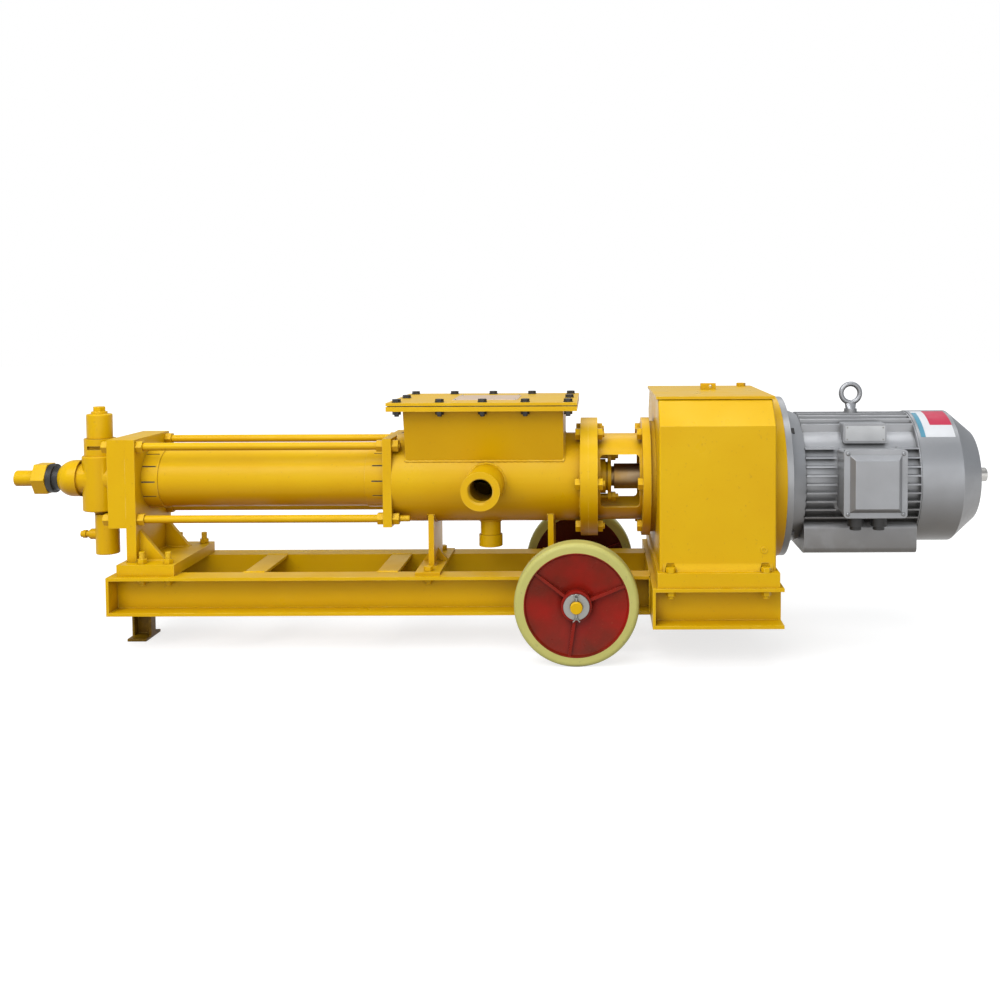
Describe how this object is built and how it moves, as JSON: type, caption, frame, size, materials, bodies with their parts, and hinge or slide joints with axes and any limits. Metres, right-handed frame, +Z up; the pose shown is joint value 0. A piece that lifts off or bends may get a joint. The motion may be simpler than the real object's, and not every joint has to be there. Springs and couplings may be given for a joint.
{
  "type": "progressive cavity pump on a trolley",
  "caption": "Progressive cavity pump on a two-wheeled channel-steel trolley, with a tie-rod stator, a lidded suction housing, a gearbox and a flanged electric motor.",
  "frame": {"origin": "centre of the footprint at ground level, under the middle of the whole length", "axes": "+X along the pump from the discharge end to the motor, +Z up, -Y towards the side with the suction port and the terminal box"},
  "size_m": [2.15, 0.5, 0.565],
  "materials": {
    "yellow_paint": "gloss",
    "gearbox_paint": "gloss",
    "motor_paint": "satin",
    "motor_sheet": "satin",
    "black_steel": "satin",
    "dark_fitting": "satin",
    "bare_steel": "satin",
    "rotor_chrome": "polished",
    "stator_core": "matte",
    "black_rubber": "matte",
    "packing_cord": "matte",
    "fan_plastic": "matte",
    "wheel_red": "satin",
    "tyre_cream": "matte",
    "zinc_steel": "satin",
    "label_plate": "satin"
  },
  "bodies": {
    "frame": {"rail_near": "yellow_paint", "rail_far": "yellow_paint", "cross_channels": "yellow_paint", "base_channel_near": "yellow_paint", "base_channel_far": "yellow_paint", "base_cross_channels": "yellow_paint", "leg": "yellow_paint", "axle": "yellow_paint", "axle_fittings": "zinc_steel", "head_plate": "yellow_paint", "support_plate": "yellow_paint", "base_plate": "yellow_paint", "base_studs": "yellow_paint", "discharge_head": "yellow_paint", "discharge_dome": "yellow_paint", "dome_ring": "dark_fitting", "union_nut": "yellow_paint", "spigot": "yellow_paint", "relief_valve": "yellow_paint", "lower_valve": "yellow_paint", "stator_tube": "yellow_paint", "stator_liner": "black_rubber", "tie_plate": "yellow_paint", "tie_rods": "yellow_paint", "tie_rod_nuts": "yellow_paint", "suction_housing": "yellow_paint", "hopper": "yellow_paint", "hopper_gasket": "black_rubber", "hopper_lid": "yellow_paint", "lid_bolts": "black_steel", "drain_cap": "yellow_paint", "housing_stands": "yellow_paint", "mounting_bolts": "yellow_paint", "lantern": "yellow_paint", "packing_rings": "packing_cord", "gland_follower": "yellow_paint", "lantern_bolts": "black_steel", "gearbox_housing": "gearbox_paint", "gearbox_lid": "gearbox_paint", "shaft_bearings": "bare_steel", "end_shields": "motor_paint", "motor_frame": "motor_paint", "motor_stator": "stator_core", "fan_cover": "motor_sheet", "terminal_box": "motor_paint", "terminal_lid": "motor_paint", "cable_glands": "dark_fitting", "lifting_eye": "motor_sheet"},
    "wheel_near": {"wheel_centre_near": "wheel_red", "tyre_near": "tyre_cream"},
    "wheel_far": {"wheel_centre_far": "wheel_red", "tyre_far": "tyre_cream"},
    "drive_shaft": {"drive_shaft": "bare_steel", "output_gear": "bare_steel"},
    "layshaft": {"layshaft": "bare_steel", "layshaft_gear": "bare_steel"},
    "motor_rotor": {"motor_rotor": "bare_steel", "cooling_fan": "fan_plastic"},
    "coupling_rod": {"coupling_rod": "bare_steel"},
    "rotor": {"rotor": "rotor_chrome"}
  },
  "joints": [
    {"name": "drive_shaft_turn", "type": "hinge", "parent": "frame", "child": "drive_shaft", "pos_m": [0.3, 0, 0.357], "axis": [1, 0, 0], "continuous": true},
    {"name": "layshaft_turn", "type": "hinge", "parent": "frame", "child": "layshaft", "pos_m": [0.455, 0.114, 0.357], "axis": [1, 0, 0], "continuous": true},
    {"name": "motor_turn", "type": "hinge", "parent": "frame", "child": "motor_rotor", "pos_m": [0.75, 0, 0.357], "axis": [1, 0, 0], "continuous": true},
    {"name": "coupling_rod_orbit", "type": "hinge", "parent": "frame", "child": "coupling_rod", "pos_m": [0.135, 0, 0.357], "axis": [1, 0, 0], "continuous": true},
    {"name": "rotor_turn", "type": "hinge", "parent": "coupling_rod", "child": "rotor", "pos_m": [-0.205, 0, 0.365], "axis": [1, 0, 0], "continuous": true},
    {"name": "wheel_near_turn", "type": "hinge", "parent": "frame", "child": "wheel_near", "pos_m": [0.17, -0.205, 0.127], "axis": [0, 1, 0], "continuous": true},
    {"name": "wheel_far_turn", "type": "hinge", "parent": "frame", "child": "wheel_far", "pos_m": [0.17, 0.205, 0.127], "axis": [0, 1, 0], "continuous": true}
  ],
  "couplings": [
    {"joint": "layshaft_turn", "follows": "drive_shaft_turn", "ratio": -2},
    {"joint": "motor_turn", "follows": "drive_shaft_turn", "ratio": 4},
    {"joint": "coupling_rod_orbit", "follows": "drive_shaft_turn", "ratio": -1},
    {"joint": "rotor_turn", "follows": "drive_shaft_turn", "ratio": 2}
  ]
}
